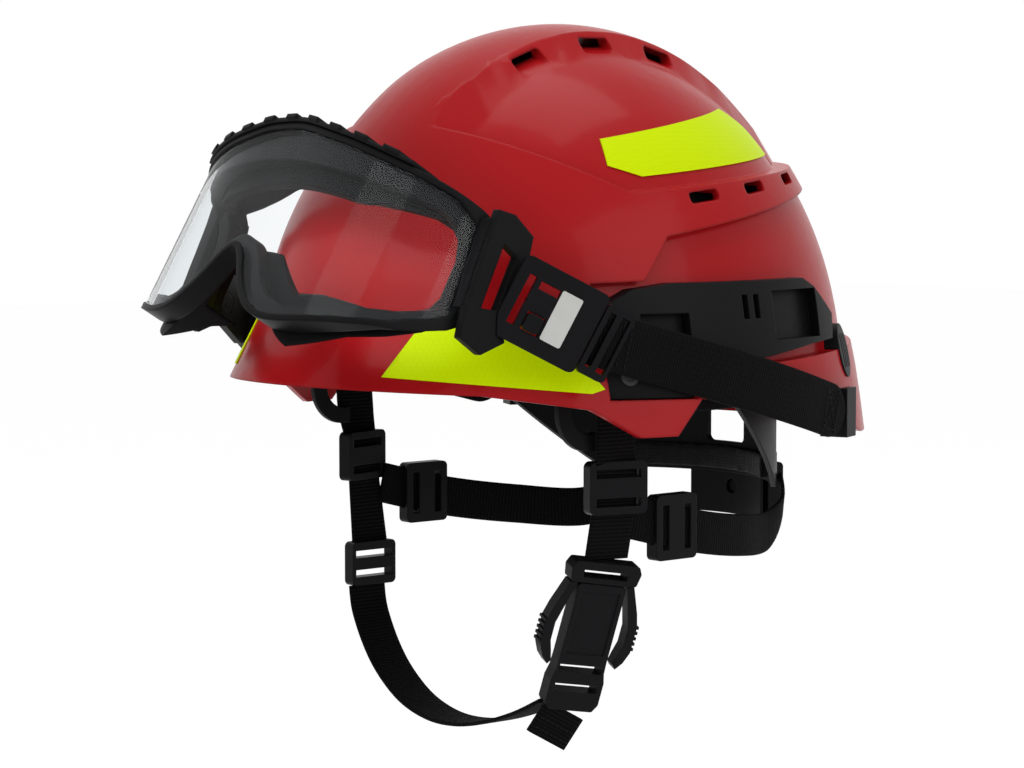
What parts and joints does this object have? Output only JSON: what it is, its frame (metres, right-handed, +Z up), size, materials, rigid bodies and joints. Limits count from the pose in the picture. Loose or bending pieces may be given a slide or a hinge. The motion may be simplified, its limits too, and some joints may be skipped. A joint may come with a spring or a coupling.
{
  "type": "rescue helmet",
  "caption": "Red rescue helmet with ridged crown, side rails, stowed goggles on an elastic strap, nape ratchet and buckled chin harness.",
  "frame": {"origin": "centre of the head opening, level with the side rim", "axes": "+Z up through the crown, the face looks along -Y, +X is the wearer's left"},
  "size_m": [0.2332, 0.3024, 0.2773],
  "materials": {
    "shell_red": "gloss",
    "foam_black": "matte",
    "pad_black": "matte",
    "plastic_black": "satin",
    "goggle_black": "satin",
    "seal_rubber": "matte",
    "lens_clear": "gloss",
    "webbing_black": "matte",
    "marker_yellow": "satin",
    "label_pale": "matte",
    "screw_dark": "satin"
  },
  "bodies": {
    "helmet": {"outer_shell": "shell_red", "impact_liner": "foam_black", "crown_pad": "pad_black", "brow_pad": "pad_black", "nape_pad": "pad_black", "headband": "plastic_black", "nape_cradle": "plastic_black", "nape_housing": "plastic_black", "chin_lock": "plastic_black", "buckle_socket": "plastic_black", "side_rail_left": "plastic_black", "side_rail_right": "plastic_black", "rear_clip_left": "plastic_black", "rear_clip_right": "plastic_black", "side_hanger_left": "plastic_black", "side_hanger_right": "plastic_black", "ear_slider_left": "plastic_black", "ear_slider_right": "plastic_black", "rear_adjuster_left": "plastic_black", "rear_adjuster_right": "plastic_black", "strap_hook_left": "plastic_black", "strap_hook_right": "plastic_black", "front_strap_left": "webbing_black", "front_strap_right": "webbing_black", "rear_strap_left": "webbing_black", "rear_strap_right": "webbing_black", "lower_strap_left": "webbing_black", "lower_strap_right": "webbing_black", "crown_marker_left": "marker_yellow", "crown_marker_right": "marker_yellow", "brow_marker_left": "marker_yellow", "brow_marker_right": "marker_yellow", "rail_screws": "screw_dark"},
    "goggles": {"goggle_frame": "goggle_black", "goggle_lens": "lens_clear", "goggle_seal": "seal_rubber", "goggle_vent_cover": "plastic_black", "plate_label": "label_pale", "goggle_arm_left": "plastic_black", "goggle_arm_right": "plastic_black", "goggle_strap_left": "webbing_black", "goggle_strap_right": "webbing_black", "strap_plate_left": "plastic_black", "strap_plate_right": "plastic_black", "strap_loop_left": "plastic_black", "strap_loop_right": "plastic_black"},
    "button_left": {"strap_button_left": "plastic_black"},
    "button_right": {"strap_button_right": "plastic_black"},
    "band_left": {"nape_band_left": "plastic_black"},
    "band_right": {"nape_band_right": "plastic_black"},
    "knob": {"ratchet_knob": "plastic_black"},
    "arm_front": {"buckle_arm_front": "plastic_black"},
    "arm_back": {"buckle_arm_back": "plastic_black"},
    "chin": {"buckle_tongue": "plastic_black", "chin_strap": "webbing_black", "strap_tail": "webbing_black"}
  },
  "joints": [
    {"name": "goggle_lift", "type": "hinge", "parent": "helmet", "child": "goggles", "pos_m": [0, 0.0475, -0.006], "axis": [-1, 0, 0], "range_deg": [0, 9]},
    {"name": "button_press_left", "type": "slide", "parent": "goggles", "child": "button_left", "axis": [-0.8558, 0.5169, -0.0214], "range_m": [0, 0.0012], "stiffness_N_per_m": 600},
    {"name": "button_press_right", "type": "slide", "parent": "goggles", "child": "button_right", "axis": [0.8558, 0.5169, -0.0214], "range_m": [0, 0.0012], "stiffness_N_per_m": 600},
    {"name": "ratchet_turn", "type": "hinge", "parent": "helmet", "child": "knob", "pos_m": [0, 0.1082, -0.048], "axis": [0, 1, 0], "range_deg": [-60, 60]},
    {"name": "band_slide_left", "type": "hinge", "parent": "helmet", "child": "band_left", "pos_m": [0, 0.0332, -0.042], "axis": [0, 0, 1], "range_deg": [-3.9, 3.9]},
    {"name": "band_slide_right", "type": "hinge", "parent": "helmet", "child": "band_right", "pos_m": [0, 0.0332, -0.054], "axis": [0, 0, 1], "range_deg": [-3.9, 3.9]},
    {"name": "arm_squeeze_front", "type": "hinge", "parent": "helmet", "child": "arm_front", "pos_m": [0.06814, -0.05067, -0.06642], "axis": [0.9233, -0.2881, -0.2539], "range_deg": [0, 4.5], "stiffness_Nm_per_rad": 0.05},
    {"name": "arm_squeeze_back", "type": "hinge", "parent": "helmet", "child": "arm_back", "pos_m": [0.07413, -0.02833, -0.07], "axis": [-0.9233, 0.2881, 0.2539], "range_deg": [0, 4.5], "stiffness_Nm_per_rad": 0.05},
    {"name": "buckle_release", "type": "slide", "parent": "helmet", "child": "chin", "axis": [-0.2865, -0.0764, -0.955], "range_m": [0, 0.026]}
  ],
  "couplings": [
    {"joint": "band_slide_left", "follows": "ratchet_turn", "ratio": -0.06278},
    {"joint": "band_slide_right", "follows": "ratchet_turn", "ratio": 0.06278}
  ]
}
